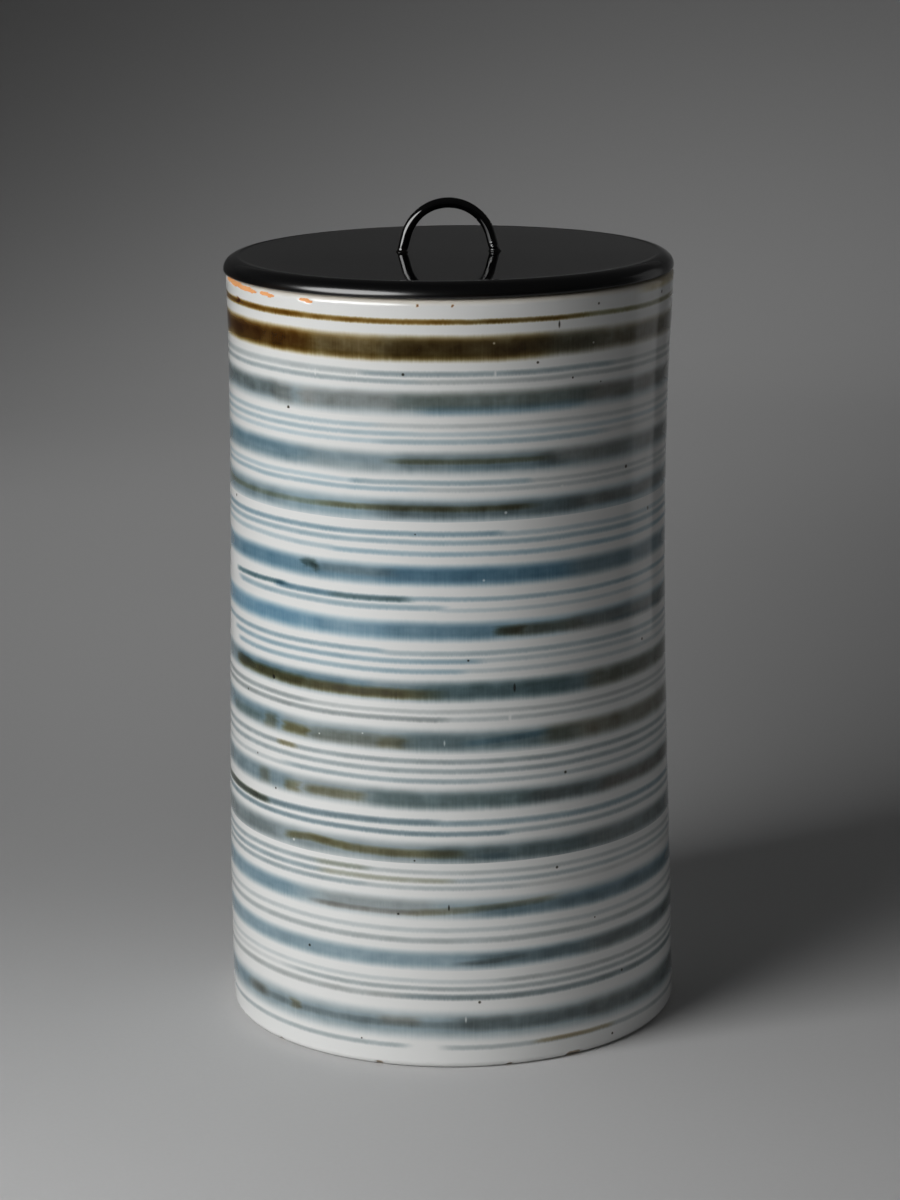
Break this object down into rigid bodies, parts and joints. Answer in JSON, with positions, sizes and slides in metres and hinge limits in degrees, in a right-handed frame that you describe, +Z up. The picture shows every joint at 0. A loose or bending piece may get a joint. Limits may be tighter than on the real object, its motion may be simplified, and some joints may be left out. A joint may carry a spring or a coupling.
{
  "type": "lidded water jar",
  "caption": "Tall waisted porcelain jar for cold tea water, painted with blue and brown rings, with a flat black lacquered lid that lifts off by an arched rod handle.",
  "frame": {"origin": "middle of the foot, on the surface that the jar stands on", "axes": "+Z up along the axis of the jar; the two legs of the handle stand along X"},
  "size_m": [0.1348, 0.1348, 0.2458],
  "materials": {
    "glazed_porcelain": "clear glossy glaze over white clay with painted blue, grey and brown rings",
    "lacquered_wood": "polished black lacquer",
    "lacquered_rod": "polished black lacquer on a bent metal rod"
  },
  "bodies": {
    "jar": {"jar": "glazed_porcelain"},
    "lid": {"lid_panel": "lacquered_wood", "locating_ring": "lacquered_wood", "handle_loop": "lacquered_rod"}
  },
  "joints": [
    {"name": "lid_lift", "type": "slide", "parent": "jar", "child": "lid", "axis": [0, 0, 1], "range_m": [0, 0.16]}
  ]
}
